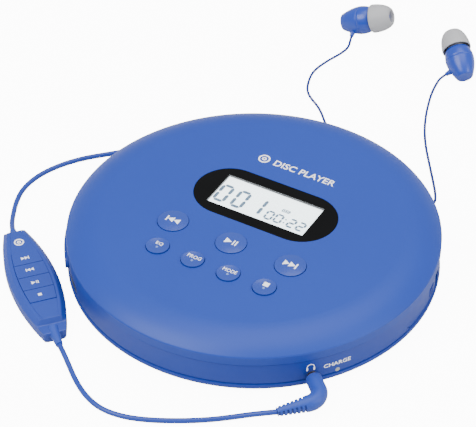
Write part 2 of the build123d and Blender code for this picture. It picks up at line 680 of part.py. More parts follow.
def bud_exit(side):
    """Where the lead leaves an earbud, and its direction: out of the side and a little down."""
    _, heading, turn = BUDS[side]
    axis = Vector(math.cos(math.radians(heading)), math.sin(math.radians(heading)), 0)
    out = Vector(-axis.Y, axis.X, 0) * turn
    out = out * math.cos(math.radians(30)) + Vector(0, 0, -math.sin(math.radians(30)))
    along = axis * math.cos(math.radians(BUD_TILT)) + Vector(0, 0, math.sin(math.radians(BUD_TILT)))
    return bud_frame(side).position + along * BUD_EXIT, out


def earbud(side):
    """A barrel with a flat back and a nozzle for the tip, and a sleeve for the lead."""
    flank = Spline((3.55, 0, 0.2), (5.4, 0, 4.8), (6.1, 0, 8.6), (5.5, 0, 12.0), (3.9, 0, 13.7))
    rest = Polyline((3.9, 0, 13.7), (2.3, 0, 13.7), (2.3, 0, 19), (0, 0, 19), (0, 0, 0), (3.35, 0, 0),
                    (3.55, 0, 0.2))
    body = bud_frame(side) * revolve(make_face([flank, rest]), Axis.Z)
    centre, out = bud_exit(side)
    sleeve = Plane(origin=centre + out * 4.6, z_dir=out) * Pos(0, 0, 1.5) * Cylinder(0.95, 3.0)
    return body + sleeve


def ear_tip(side):
    """A hollow silicone dome on the nozzle."""
    dome = Spline((6.12, 0, 13.9), (5.9, 0, 17.2), (4.9, 0, 20.6), (3.0, 0, 22.8))
    rest = Polyline((3.0, 0, 22.8), (2.3, 0, 22.8), (2.3, 0, 14.6), (3.0, 0, 14.6), (3.3, 0, 20.0),
                    (4.2, 0, 19.4), (5.1, 0, 17.0), (5.6, 0, 13.9), (6.12, 0, 13.9))
    return bud_frame(side) * revolve(make_face([dome, rest]), Axis.Z)


# ---------------------------------------------------------------- leads
# Routes along the ground, by hand, each point (x, y, z). Both ends lie on what the lead joins.
PLUG_LEAD = [(48.45, -68.5, 4.83), (45.0, -70.5, 4.3), (40.3, -72.6, 3.0), (34.6, -75.4, 1.3),
             (28.4, -80.2, 1.05), (20.6, -85.4, 1.05), (10.9, -90.7, 1.05), (1.6, -94.2, 1.05),
             (-7.4, -94.9, 1.05), (-15.4, -92.2, 1.05), (-22.6, -87.6, 1.1), (-28.2, -83.2, 2.0),
             (-32.5, -79.9, 3.0), (-36.42, -76.97, 3.2)]
REMOTE_LEAD = [(-86.68, -33.59, 3.2), (-90.0, -29.8, 2.0), (-93.7, -23.6, 1.05), (-97.2, -16.3, 1.05),
               (-99.4, -8.5, 1.05), (-98.9, 0.8, 1.05), (-95.3, 10.4, 1.05), (-89.4, 19.2, 1.05),
               (-82.2, 26.4, 1.05), (-75.6, 32.9, 1.05), (-69.6, 38.9, 1.05), (-62.6, 44.4, 1.05),
               (-57.8, 47.5, 1.1)]
TAIL_LEAD = [(-25.0, 75.1, 3.2), (-22.6, 76.4, 2.3), (-19.7, 77.2, 1.4)]
LEFT_START = [(-10.2, 77.5, 1.1), (-7.4, 75.8, 0.6), (-1.0, 74.7, 0.6), (6.5, 74.6, 0.6), (13.0, 73.0, 0.6),
              (17.4, 70.7, 0.6)]
LEFT_LEAD = [(36.3, 62.0, 1.4), (38.4, 60.9, 1.2), (42.2, 61.3, 0.6), (44.2, 64.9, 0.6), (42.2, 69.6, 0.6),
             (37.8, 76.4, 0.6), (31.6, 85.6, 0.6), (25.3, 95.0, 0.6), (20.1, 104.4, 0.6), (16.2, 113.8, 0.6),
             (13.2, 122.8, 0.6), (11.3, 130.2, 0.6), (10.6, 135.4, 0.6), (10.3, 138.9, 0.8), (11.83, 141.2, 1.86)]
RIGHT_START = [(-10.2, 79.2, 1.1), (-7.3, 78.3, 0.8)]
RIGHT_LEAD = [(-5.7, 83.2, 1.2), (-7.9, 83.5, 0.8), (-11.4, 84.4, 0.6), (-14.8, 86.4, 0.6), (-17.9, 89.3, 0.6),
              (-20.9, 92.9, 0.6), (-25.1, 96.9, 0.6), (-30.0, 100.0, 0.6), (-33.7, 103.6, 0.6),
              (-36.2, 109.0, 0.6), (-38.2, 117.0, 0.6), (-36.6, 126.0, 0.6), (-34.0, 133.6, 0.6),
              (-33.2, 139.2, 0.6), (-34.4, 143.2, 0.8), (-35.08, 145.67, 1.86)]
# each bundle: middle, heading, length, width, height, and the width of its band of lead
HANKS = {"lead_hank": ((-44.0, 63.5), 35.0, 44.6, 14.6, 4.2, 2.1),
         "right_lead_hank": ((3.6, 79.6), 0.0, 22.0, 8.0, 2.4, 1.2),
         "left_lead_hank": ((28.4, 69.2), -23.0, 23.6, 8.0, 2.4, 1.2)}


def lead(name, route, diameter):
    """A tube along straight runs joined by the largest tangent arcs that they leave room for."""
    points = [Vector(*p) for p in route]
    section_at = Plane(origin=points[0], z_dir=points[1] - points[0])
    if len(points) == 2:
        path = Line(*points)
    else:
        radii = []
        for before, here, after in zip(points, points[1:], points[2:]):
            turn = math.radians((here - before).get_angle(after - here))
            shorter = min((here - before).length, (after - here).length)
            radii.append(0.45 * shorter / math.tan(turn / 2))
        print(name, "radii", [round(r, 1) for r in radii])
        path = FilletPolyline(*points, radius=radii)
    tube = sweep(section_at * Circle(diameter / 2), path)
    ideal = math.pi * diameter ** 2 / 4 * path.length
    print(name, "length", round(path.length, 1), "volume ratio", round(tube.volume / ideal, 4))
    return tube


def hank(name):
    """The outer shape of a folded bundle of lead, open in the middle."""
    (x, y), heading, length, width, height, band = HANKS[name]
    bundle = extrude(SlotOverall(length, width), height)
    bundle -= extrude(SlotOverall(length - 2 * band, width - 2 * band), height)
    bundle = chamfer(bundle.edges().group_by(Axis.Z)[-1], 0.25 * band)
    return Pos(x, y, 0.05) * Rot(0, 0, heading) * bundle


def splitter():
    """Where the two thin leads part: a flat wedge of soft plastic."""
    outline = make_face(Polyline((0, -1.4), (10, -2.4), (10, 2.4), (0, 1.4), close=True))
    wedge = extrude(outline, 2.7)
    wedge = fillet(wedge.edges().filter_by(Axis.Z), 0.8)
    return Pos(-20.1, 77.2, 0.05) * Rot(0, 0, 8) * wedge


# ---------------------------------------------------------------- the whole part
PIECES = {
    "bottom_case": bottom_case, "disc_deck": disc_deck, "main_board": main_board, "battery": battery,
    "traverse_frame": traverse_frame, "damper_bushes": damper_bushes, "spindle_motor": spindle_motor,
    "turntable": turntable, "chuck_balls": chuck_balls,
    "guide_rods": guide_rods, "optical_pickup": optical_pickup, "objective_lens": objective_lens,
    "sled_motor": sled_motor, "lead_screw": lead_screw, "headphone_socket": headphone_socket,
    "usb_socket": usb_socket, "charge_led": charge_led, "hinge_pins": hinge_pins,
    "latch_spring": latch_spring, "lid_switch": lid_switch, "rubber_feet": rubber_feet,
    "case_screws": case_screws, "lid_shell": lid_shell, "lid_liner": lid_liner, "hinge_block": hinge_block,
    "lid_hook": lid_hook, "lid_screws": lid_screws, "display_window": display_window,
    "display_module": display_module, "key_board": key_board, "open_slider": open_slider,
    "volume_rocker": volume_rocker, "remote_lower_shell": remote_lower_shell,
    "remote_upper_shell": remote_upper_shell, "remote_board": remote_board, "remote_reliefs": remote_reliefs,
    "plug_body": plug_body, "plug_pin": plug_pin, "splitter": splitter}

os.makedirs("parts", exist_ok=True)
for node, make in PIECES.items():
    save(node, make())
for node, place in KEYS.items():
    save(node, lid_key(*place))
for number, node in enumerate(REMOTE_KEYS):
    save(node, remote_key(number))
save("lead_hank", hank("lead_hank"))
save("ear_lead_hanks", Compound(children=[hank("left_lead_hank"), hank("right_lead_hank")]))
for side in BUDS:
    save(f"{side}_earbud", earbud(side))
    save(f"{side}_ear_tip", ear_tip(side))
save("plug_lead", lead("plug_lead", PLUG_LEAD, CORD_D))
save("remote_lead", Compound(children=[lead("remote_lead", REMOTE_LEAD, CORD_D),
                                       lead("tail_lead", TAIL_LEAD, CORD_D)]))
save("left_lead", Compound(children=[lead("left_start", LEFT_START, THIN_D), lead("left_lead", LEFT_LEAD, THIN_D)]))
save("right_lead", Compound(children=[lead("right_start", RIGHT_START, THIN_D),
                                      lead("right_lead", RIGHT_LEAD, THIN_D)]))
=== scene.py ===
import math

import bmesh
import bpy
from mathutils import Matrix, Vector


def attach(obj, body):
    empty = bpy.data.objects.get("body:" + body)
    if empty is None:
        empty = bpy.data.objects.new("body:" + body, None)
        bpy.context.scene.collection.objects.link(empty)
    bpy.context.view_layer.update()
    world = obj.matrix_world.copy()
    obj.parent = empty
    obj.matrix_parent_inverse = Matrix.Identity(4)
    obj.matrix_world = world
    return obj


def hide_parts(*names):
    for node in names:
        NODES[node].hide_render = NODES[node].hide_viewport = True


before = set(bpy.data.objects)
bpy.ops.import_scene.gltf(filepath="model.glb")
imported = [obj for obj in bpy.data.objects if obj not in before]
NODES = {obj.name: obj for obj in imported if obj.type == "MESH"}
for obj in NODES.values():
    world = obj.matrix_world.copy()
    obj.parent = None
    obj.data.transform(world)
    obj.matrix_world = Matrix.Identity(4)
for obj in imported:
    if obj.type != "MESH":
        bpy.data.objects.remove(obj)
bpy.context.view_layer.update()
MM = 0.001

# A round portable CD player with its earphones. The CAD gives the case, the mechanism and the keys; the
# pieces made here are the leads, the plug, the remote's shell, the earbuds, the display and the printing.
# Sizes are written in millimetres and turned into metres where a mesh or a curve is made.


# ---------------------------------------------------------------- materials
FLECK_RANGE = (0.56, 0.72)
GRAIN_DEPTH = 0.0002


def linear(r, g, b):
    """Linear colour from 0..255 screen values."""
    values = []
    for c in (r, g, b):
        c = c / 255.0
        values.append(c / 12.92 if c <= 0.04045 else ((c + 0.055) / 1.055) ** 2.4)
    return (*values, 1.0)


def shifted(color, factor):
    """A lighter or darker colour of the same hue."""
    return tuple(min(1.0, c * factor) for c in color[:3]) + (1.0,)


def add_node(tree, kind, **inputs):
    """A shader node with some inputs set; an underscore stands for a space in an input's name."""
    node = tree.nodes.new(kind)
    for key, value in inputs.items():
        node.inputs[key.replace("_", " ")].default_value = value
    return node


def surface(name, color, rough=0.45, vary=0.04, vary_scale=60.0, grain=2500.0, bump=0.06, fleck=0.0,
            streak=None, rough_vary=0.06, **shader):
    """A procedural material: soft colour variation, roughness variation and a fine grain in the bump.

    fleck is how strongly the pearl flecks show, streak scales the pattern along each axis, and the
    remaining names are sockets of the shader.
    """
    mat = bpy.data.materials.new(name)
    mat.use_nodes = True
    tree = mat.node_tree
    link = tree.links.new
    bsdf = tree.nodes["Principled BSDF"]
    where = tree.nodes.new("ShaderNodeTexCoord")
    mapping = tree.nodes.new("ShaderNodeMapping")
    if streak:
        mapping.inputs["Scale"].default_value = streak
    link(where.outputs["Object"], mapping.inputs["Vector"])

    broad = add_node(tree, "ShaderNodeTexNoise", Scale=vary_scale, Detail=4.0, Roughness=0.55)
    link(mapping.outputs["Vector"], broad.inputs["Vector"])
    ramp = tree.nodes.new("ShaderNodeValToRGB")
    ramp.color_ramp.elements[0].position = 0.3
    ramp.color_ramp.elements[1].position = 0.7
    ramp.color_ramp.elements[0].color = shifted(color, 1.0 - vary)
    ramp.color_ramp.elements[1].color = shifted(color, 1.0 + vary)
    link(broad.outputs["Fac"], ramp.inputs["Fac"])
    shade = ramp.outputs["Color"]

    fine = add_node(tree, "ShaderNodeTexNoise", Scale=grain, Detail=2.0, Roughness=0.5)
    link(mapping.outputs["Vector"], fine.inputs["Vector"])
    if fleck:
        spots = tree.nodes.new("ShaderNodeValToRGB")
        spots.color_ramp.elements[0].position = FLECK_RANGE[0]
        spots.color_ramp.elements[0].color = (0, 0, 0, 1)
        spots.color_ramp.elements[1].position = FLECK_RANGE[1]
        spots.color_ramp.elements[1].color = (fleck, fleck, fleck, 1)
        mix = tree.nodes.new("ShaderNodeMix")
        mix.data_type = "RGBA"
        link(fine.outputs["Fac"], spots.inputs["Fac"])
        link(spots.outputs["Color"], mix.inputs["Factor"])
        link(shade, mix.inputs["A"])
        mix.inputs["B"].default_value = shifted(color, 1.6)
        shade = mix.outputs["Result"]
    link(shade, bsdf.inputs["Base Color"])

    span = tree.nodes.new("ShaderNodeMapRange")
    span.inputs["To Min"].default_value = max(0.0, rough - rough_vary)
    span.inputs["To Max"].default_value = min(1.0, rough + rough_vary)
    link(broad.outputs["Fac"], span.inputs["Value"])
    link(span.outputs["Result"], bsdf.inputs["Roughness"])

    relief = add_node(tree, "ShaderNodeBump", Strength=bump, Distance=GRAIN_DEPTH)
    link(fine.outputs["Fac"], relief.inputs["Height"])
    link(relief.outputs["Normal"], bsdf.inputs["Normal"])
    for key, value in shader.items():
        bsdf.inputs[key.replace("_", " ")].default_value = value
    return mat


BLUE_GLINT = linear(222, 230, 255)
LID_BLUE = linear(26, 60, 158)
CASE_BLUE = linear(22, 55, 154)
LEAD_BLUE = linear(24, 58, 158)
MAT = {
    "lid": surface("lid_pearl", LID_BLUE, 0.45, 0.02, 25, 3200, 0.03, fleck=0.12, Coat_Weight=0.1,
                   Coat_Roughness=0.35, Specular_Tint=BLUE_GLINT),
    "case": surface("case_pearl", CASE_BLUE, 0.42, 0.03, 30, 3200, 0.04, fleck=0.12, Coat_Weight=0.1,
                    Coat_Roughness=0.35, Specular_Tint=BLUE_GLINT),
    "key": surface("key_pearl", LID_BLUE, 0.34, 0.03, 90, 3200, 0.03, fleck=0.1, Coat_Weight=0.5,
                   Coat_Roughness=0.2),
    # the pips' lighter blue is a painted highlight, not the keys' own colour
    "pip": surface("key_pip_painted_highlight", linear(112, 140, 206), 0.3, 0.03, 90, 3200, 0.03, Coat_Weight=0.5),
    "remote": surface("remote_pearl", linear(30, 62, 160), 0.44, 0.03, 60, 3000, 0.05, fleck=0.1,
                      Coat_Weight=0.15, Coat_Roughness=0.3),
    "lead": surface("lead_jacket", LEAD_BLUE, 0.38, 0.05, 120, 1800, 0.08, Sheen_Weight=0.1),
    "thin_lead": surface("thin_lead_jacket", linear(20, 42, 128), 0.38, 0.05, 160, 2200, 0.08),
    "plug": surface("plug_moulding", linear(30, 66, 166), 0.46, 0.05, 80, 1500, 0.12, Sheen_Weight=0.1),
    "bud": surface("bud_shell", linear(22, 62, 172), 0.32, 0.03, 80, 2500, 0.04, Coat_Weight=0.3,
                   Coat_Roughness=0.25),
    "tip": surface("silicone", linear(176, 176, 178), 0.5, 0.04, 90, 1400, 0.1, Subsurface_Weight=0.25,
                   Subsurface_Radius=(0.004, 0.004, 0.004)),
    # white print that also glows faintly: a painted glow added so the marks read white
    "print": surface("white_print_with_painted_glow", linear(250, 250, 252), 0.5, 0.02, 200, 3000, 0.08,
                     Emission_Color=linear(250, 250, 252), Emission_Strength=0.4),
    "bezel": surface("bezel_black", linear(2, 2, 3), 0.3, 0.1, 60, 3000, 0.01, Specular_IOR_Level=0.12),
    "pane": surface("display_backing", linear(236, 244, 246), 0.35, 0.015, 90, 2600, 0.03,
                    Emission_Color=linear(226, 240, 244), Emission_Strength=3.0),
    "segment": surface("display_segment", linear(0, 84, 122), 0.4, 0.06, 300, 3000, 0.02),
    "cover": surface("display_cover", linear(240, 244, 248), 0.05, 0.01, 60, 3000, 0.005, Alpha=0.08,
                     rough_vary=0.02),
    "deck": surface("deck_plastic", linear(44, 46, 52), 0.55, 0.08, 70, 1400, 0.18),
    "liner": surface("liner_plastic", linear(52, 54, 60), 0.5, 0.07, 70, 1400, 0.16),
    "black": surface("black_plastic", linear(22, 22, 24), 0.5, 0.12, 90, 1600, 0.16),
    "board": surface("solder_mask", linear(20, 84, 52), 0.38, 0.2, 220, 900, 0.2, Coat_Weight=0.3),
    "wrap": surface("battery_wrap", linear(56, 92, 150), 0.3, 0.06, 50, 800, 0.1, Coat_Weight=0.4),
    "rubber": surface("foot_rubber", linear(30, 30, 32), 0.8, 0.1, 200, 1000, 0.35),
    "steel": surface("ground_steel", linear(190, 192, 196), 0.28, 0.06, 300, 900, 0.1, Metallic=1.0,
                     streak=(1, 0.08, 1)),
    "plate": surface("plated_steel", linear(172, 174, 178), 0.34, 0.08, 150, 1200, 0.12, Metallic=1.0),
    "screw": surface("black_steel", linear(38, 38, 42), 0.4, 0.15, 300, 1500, 0.15, Metallic=0.8),
    "gold": surface("gold_plate", linear(214, 178, 96), 0.22, 0.05, 300, 1800, 0.06, Metallic=1.0),
    "lamp": surface("lamp_diffuser", linear(196, 196, 188), 0.4, 0.05, 300, 1500, 0.1,
                    Transmission_Weight=0.2),
    "lens": surface("lens_glass", linear(120, 140, 210), 0.04, 0.05, 200, 1500, 0.01, rough_vary=0.02,
                    Transmission_Weight=0.6, Coat_Weight=1.0, Coat_Roughness=0.03),
    "strap": surface("tie_strap", linear(34, 35, 40), 0.85, 0.12, 300, 2400, 0.4, Sheen_Weight=0.3),
}
NODE_MATERIALS = {
    "lid": ["lid_shell"],
    "case": ["bottom_case", "hinge_block", "open_slider", "volume_rocker", "headphone_socket"],
    "key": ["previous_key", "play_key", "next_key", "equaliser_key", "program_key", "mode_key", "stop_key"],
    "remote": ["remote_next_key", "remote_previous_key", "remote_play_key", "remote_stop_key"],
    "plug": ["splitter", "remote_reliefs"],
    "deck": ["disc_deck"],
    "liner": ["lid_liner"],
    "black": ["traverse_frame", "optical_pickup", "lid_switch", "lid_hook", "turntable", "display_module"],
    "board": ["main_board", "key_board", "remote_board"],
    "wrap": ["battery"],
    "rubber": ["rubber_feet", "damper_bushes"],
    "steel": ["guide_rods", "lead_screw", "hinge_pins", "latch_spring", "chuck_balls"],
    "plate": ["spindle_motor", "sled_motor", "usb_socket"],
    "screw": ["case_screws", "lid_screws"],
    "gold": ["plug_pin"],
    "lamp": ["charge_led"],
    "lens": ["objective_lens"],
}
for kind, nodes in NODE_MATERIALS.items():
    for node in nodes:
        for slot in NODES[node].material_slots:
            slot.material = MAT[kind]


# ---------------------------------------------------------------- building blocks
def at_angle(radius, degrees, z=0.0):
    """A place at a distance from the disc's axis."""
    a = math.radians(degrees)
    return Vector((radius * math.cos(a), radius * math.sin(a), z))


def add_object(name, data, kind, body):
    """Links a mesh or a curve, gives it its material and hangs it on a body."""
    obj = bpy.data.objects.new(name, data)
    bpy.context.scene.collection.objects.link(obj)
    data.materials.clear()
    data.materials.append(MAT[kind])
    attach(obj, body)
    return obj


def add_mesh(name, points, faces, kind, body="base", smooth=True):
    """A mesh piece from points in millimetres."""
    mesh = bpy.data.meshes.new(name)
    mesh.from_pydata([tuple(Vector(p) * MM) for p in points], [], faces)
    mesh.validate()
    for polygon in mesh.polygons:
        polygon.use_smooth = smooth
    mesh.update()
    return add_object(name, mesh, kind, body)


def subdivided(obj, levels=1):
    """Rounds a coarse mesh off."""
    modifier = obj.modifiers.new("subdivision", "SUBSURF")
    modifier.levels = levels
    modifier.render_levels = levels
    return obj


def lofted(rings, closed_ends=(True, True)):
    """Quads between rings of the same number of points; an end can be closed by one face."""
    count = len(rings[0])
    points = [p for ring in rings for p in ring]
    faces = []
    for row in range(len(rings) - 1):
        for i in range(count):
            j = (i + 1) % count
            faces.append((row * count + i, row * count + j, (row + 1) * count + j, (row + 1) * count + i))
    if closed_ends[0]:
        faces.append(tuple(reversed(range(count))))
    if closed_ends[1]:
        faces.append(tuple(range((len(rings) - 1) * count, len(rings) * count)))
    return points, faces


def turned(name, profile, place, kind, body="base", steps=64, closed=False):
    """A piece turned about its own Z from (radius, z) points. A closed profile makes a ring."""
    angles = [2 * math.pi * i / steps for i in range(steps)]
    rings = [[place @ Vector((r * math.cos(a), r * math.sin(a), z)) for a in angles]
             for r, z in profile + (profile[:1] if closed else [])]
    points, faces = lofted(rings, (not closed, not closed))
    return add_mesh(name, points, faces, kind, body)


def cord_curve(name, route, diameter, kind, body="base"):
    """A lead along a smooth line whose control points are the route's points."""
    curve = bpy.data.curves.new(name, "CURVE")
    curve.dimensions = "3D"
    curve.bevel_depth = diameter / 2 * MM
    curve.bevel_resolution = 5
    curve.resolution_u = 10
    curve.use_fill_caps = True
    spline = curve.splines.new("NURBS")
    spline.points.add(len(route) - 1)
    for point, place in zip(spline.points, route):
        point.co = (*(Vector(place) * MM), 1.0)
    spline.order_u = 3
    spline.use_endpoint_u = True
    return add_object(name, curve, kind, body)


def in_hank(name, local):
    """Points given along and across a bundle, turned into places."""
    (cx, cy), heading, _, _ = HANKS[name]
    turn = Matrix.Translation((cx, cy, 0)) @ Matrix.Rotation(math.radians(heading), 4, "Z")
    return [tuple(turn @ Vector(p)) for p in local]


ARC_SWELL = 1.07
NEAR_ARC = (-72, -36, 0, 36, 72)
FAR_ARC = ((108, 0.1), (144, 0.35), (180, 0.7), (216, 1.0), (252, 1.0))


def hank_turns(name, w, levels):
    """Control points of an elongated coil: each turn goes out on the near side and back on the far side.

    w is the half width of the coil's line. The control points of an arc lie outside it, by ARC_SWELL. The
    lead climbs from one level to the next on the second arc: FAR_ARC pairs each angle with the part climbed.
    """
    _, _, length, width = HANKS[name]
    straight = (length - width) / 2
    r = ARC_SWELL * w
    last = straight + r * math.cos(math.radians(72)) - 2 * r * math.sin(math.radians(18))
    local = []
    for low, high in zip(levels, levels[1:]):
        local += [(f * last, -w, low) for f in (-1, -0.35, 0.35, 1)]
        for a in NEAR_ARC:
            local.append((straight + r * math.cos(math.radians(a)), r * math.sin(math.radians(a)), low))
        local += [(f * last, w, low) for f in (1, 0.3, -0.35, -1)]
        for a, t in FAR_ARC:
            local.append((-straight + r * math.cos(math.radians(a)), r * math.sin(math.radians(a)),
                          low + (high - low) * t))
    return in_hank(name, local)


# ---------------------------------------------------------------- camera, light and floor
def look_at(obj, target):
    """Turns a camera or a light towards a place."""
    obj.rotation_euler = (Vector(target) - obj.location).to_track_quat("-Z", "Y").to_euler()


# in millimetres, fitted to the case in the photograph
CAMERA_AT = (297.76, -526.29, 535.79)
CAMERA_AIM = (-8.2, 2.3, 18.95)
camera_data = bpy.data.cameras.new("camera")
camera_data.lens = 161.81
camera_data.sensor_width = 36.0
camera = bpy.data.objects.new("camera", camera_data)
bpy.context.scene.collection.objects.link(camera)
camera.location = Vector(CAMERA_AT) * MM
look_at(camera, Vector(CAMERA_AIM) * MM)
bpy.context.scene.camera = camera


def area_light(name, place, target, size, power):
    """A round soft light; its places are in metres."""
    data = bpy.data.lights.new(name, "AREA")
    data.shape = "DISK"
    data.size = size
    data.energy = power
    light = bpy.data.objects.new(name, data)
    bpy.context.scene.collection.objects.link(light)
    light.location = place
    look_at(light, target)


area_light("key_light", (-0.5, -0.9, 1.3), (0, 0, 0), 1.2, 22)
area_light("top_light", (0.1, 0.25, 1.5), (0, 0, 0), 1.6, 16)
area_light("side_light", (1.3, 0.1, 0.7), (0, 0, 0), 0.9, 8)

world = bpy.data.worlds.new("studio")
world.use_nodes = True
world.node_tree.nodes["Background"].inputs["Color"].default_value = (0.96, 0.98, 1.0, 1)
world.node_tree.nodes["Background"].inputs["Strength"].default_value = 0.7
bpy.context.scene.world = world

# The floor gives off light for camera rays only, so it looks white without lighting the object from below.
FLOOR_HALF = 6
FLOOR_GLOW = 11.0
floor_corners = [(x * FLOOR_HALF, y * FLOOR_HALF, 0) for x, y in ((-1, -1), (1, -1), (1, 1), (-1, 1))]
floor_mesh = bpy.data.meshes.new("floor")
floor_mesh.from_pydata(floor_corners, [], [(0, 1, 2, 3)])
floor = bpy.data.objects.new("floor", floor_mesh)
bpy.context.scene.collection.objects.link(floor)
floor_paper = surface("floor_paper", (0.72, 0.72, 0.72, 1), 0.9, 0.002, 3, 200, 0.0,
                      Emission_Color=(1, 1, 1, 1))
paper_tree = floor_paper.node_tree
seen = paper_tree.nodes.new("ShaderNodeLightPath")
lit = paper_tree.nodes.new("ShaderNodeMath")
lit.operation = "MULTIPLY"
lit.inputs[1].default_value = FLOOR_GLOW
paper_tree.links.new(seen.outputs["Is Camera Ray"], lit.inputs[0])
paper_tree.links.new(lit.outputs["Value"], paper_tree.nodes["Principled BSDF"].inputs["Emission Strength"])
floor_mesh.materials.append(floor_paper)


# ---------------------------------------------------------------- leads
# The visible runs repeat the points of the leads in the CAD. Next to a bundle the points differ, because
# there the line joins the bundle's turns, and in the CAD it ends in a solid block.
CORD_D = 2.0
THIN_D = 1.1
PLUG_LEAD = [(48.45, -68.5, 4.83), (45.0, -70.5, 4.3), (40.3, -72.6, 3.0), (34.6, -75.4, 1.3),
             (28.4, -80.2, 1.05), (20.6, -85.4, 1.05), (10.9, -90.7, 1.05), (1.6, -94.2, 1.05),
             (-7.4, -94.9, 1.05), (-15.4, -92.2, 1.05), (-22.6, -87.6, 1.1), (-28.2, -83.2, 2.0),
             (-32.5, -79.9, 3.0), (-36.42, -76.97, 3.2)]
REMOTE_LEAD = [(-86.68, -33.59, 3.2), (-90.0, -29.8, 2.0), (-93.7, -23.6, 1.05), (-97.2, -16.3, 1.05),
               (-99.4, -8.5, 1.05), (-98.9, 0.8, 1.05), (-95.3, 10.4, 1.05), (-89.4, 19.2, 1.05),
               (-82.2, 26.4, 1.05), (-75.6, 32.9, 1.05), (-69.6, 38.9, 1.05), (-62.6, 44.4, 1.05)]
TAIL_LEAD = [(-22.8, 76.0, 3.4), (-19.7, 77.2, 1.5), (-16.5, 77.6, 1.4)]
LEFT_START = [(-10.2, 77.5, 1.1), (-7.4, 75.8, 0.6), (-1.0, 74.7, 0.6), (6.5, 74.6, 0.6), (13.0, 73.0, 0.6),
              (17.6, 70.6, 0.6)]
LEFT_LEAD = [(38.4, 60.9, 1.2), (42.2, 61.3, 0.6), (44.2, 64.9, 0.6), (42.2, 69.6, 0.6), (37.8, 76.4, 0.6),
             (31.6, 85.6, 0.6), (25.3, 95.0, 0.6), (20.1, 104.4, 0.6), (16.2, 113.8, 0.6), (13.2, 122.8, 0.6),
             (11.3, 130.2, 0.6), (10.6, 135.4, 0.6), (10.3, 138.9, 0.8), (11.83, 141.2, 1.86)]
RIGHT_START = [(-10.2, 79.2, 1.1), (-7.8, 78.3, 0.7), (-5.2, 76.9, 0.6)]
RIGHT_LEAD = [(-7.9, 83.5, 0.8), (-11.4, 84.4, 0.6), (-14.8, 86.4, 0.6), (-17.9, 89.3, 0.6),
              (-20.9, 92.9, 0.6), (-25.1, 96.9, 0.6), (-30.0, 100.0, 0.6), (-33.7, 103.6, 0.6),
              (-36.2, 109.0, 0.6), (-38.2, 117.0, 0.6), (-36.6, 126.0, 0.6), (-34.0, 133.6, 0.6),
              (-33.2, 139.2, 0.6), (-34.4, 143.2, 0.8), (-35.08, 145.67, 1.86)]
# each bundle: middle, heading, length and width
HANKS = {"lead_hank": ((-44.0, 63.5), 35.0, 44.6, 14.6),
         "right_lead_hank": ((3.6, 79.6), 0.0, 22.0, 8.0),
         "left_lead_hank": ((28.4, 69.2), -23.0, 23.6, 8.0)}

# the first points of a turn: its near run, or both runs and the arc between them
HALF_TURN = 4
OUT_AND_BACK = 13
MAIN_COIL = 6.15
THIN_COIL = 3.48
main_turns = hank_turns("lead_hank", MAIN_COIL, [1.05, 3.1, 5.15])
# the last run of the main bundle, over its top and out at the right end
over_top = in_hank("lead_hank", [(-12.5, -6.0, 5.15), (-5.0, -5.9, 5.15), (3.0, -5.8, 5.15),
                                 (10.0, -5.4, 5.15), (15.5, -4.5, 5.2), (20.5, -3.0, 5.2)])
left_turns = hank_turns("left_lead_hank", THIN_COIL, [0.6, 1.75])
left_turns += hank_turns("left_lead_hank", THIN_COIL, [1.75, 2.9])[:HALF_TURN]
right_turns = hank_turns("right_lead_hank", THIN_COIL, [0.6, 1.75])
right_turns += hank_turns("right_lead_hank", THIN_COIL, [1.75, 2.9])[:OUT_AND_BACK]

INTO_REMOTE = [(-42.5, -71.8, 3.2)]
plug_lead = cord_curve("plug_cord", PLUG_LEAD + INTO_REMOTE, CORD_D, "lead")
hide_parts("plug_lead")
main_lead = cord_curve("main_cord", REMOTE_LEAD + main_turns + over_top + TAIL_LEAD, CORD_D, "lead")
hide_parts("remote_lead", "lead_hank")
left_lead = cord_curve("left_ear_cord", LEFT_START + left_turns + LEFT_LEAD, THIN_D, "thin_lead")
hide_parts("left_lead", "ear_lead_hanks")
right_lead = cord_curve("right_ear_cord", RIGHT_START + right_turns + RIGHT_LEAD, THIN_D, "thin_lead")
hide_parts("right_lead")


def measured(curve_object):
    """The length of a lead's own line, in metres."""
    bare = curve_object.data.copy()
    bare.bevel_depth = 0.0
    probe = bpy.data.objects.new("probe", bare)
    bpy.context.scene.collection.objects.link(probe)
    bpy.context.view_layer.update()
    line = bpy.data.meshes.new_from_object(probe)
    places = [vertex.co for vertex in line.vertices]
    total = sum((places[e.vertices[0]] - places[e.vertices[1]]).length for e in line.edges)
    bpy.data.objects.remove(probe)
    bpy.data.curves.remove(bare)
    bpy.data.meshes.remove(line)
    return total


STRAP_THICKNESS = 0.1


def strap(name, hank, half_width, near, far, high_near, high_far):
    """A tie round a bundle: a closed band, a little fuller in its middle than at its edges."""
    inner = [(-near, 0.12), (far, 0.12), (far + 0.1, 0.6), (far + 0.1, high_far - 0.5),
             (far - 0.5, high_far), (-near * 0.3, high_far + 0.1), (-near + 2.2, high_near),
             (-near + 0.4, high_near), (-near, high_near - 0.5)]
    edge = half_width - 0.15
    points, faces = [], []
    for x, grow in ((-half_width, 0.0), (-half_width + 0.15, 0.2), (edge, 0.2), (half_width, 0.0)):
        for y, z in inner:
            points.append((x, y + math.copysign(grow * 0.6, y), max(0.06, z + (grow if z > 1 else -grow))))
    count = len(inner)
    for row in range(3):
        for i in range(count):
            j = (i + 1) % count
            faces.append((row * count + i, (row + 1) * count + i, (row + 1) * count + j, row * count + j))
    band = add_mesh(name, in_hank(hank, points), faces, "strap")
    thicker = band.modifiers.new("thickness", "SOLIDIFY")
    thicker.thickness = STRAP_THICKNESS * MM
    thicker.offset = 1
    return subdivided(band, 1)


main_tie = strap("lead_tie", "lead_hank", 3.0, 7.25, 7.25, 6.3, 4.25)
right_tie = strap("right_lead_tie", "right_lead_hank", 1.8, 4.1, 4.1, 2.45, 2.45)
left_tie = strap("left_lead_tie", "left_lead_hank", 1.8, 4.1, 4.1, 2.45, 2.45)


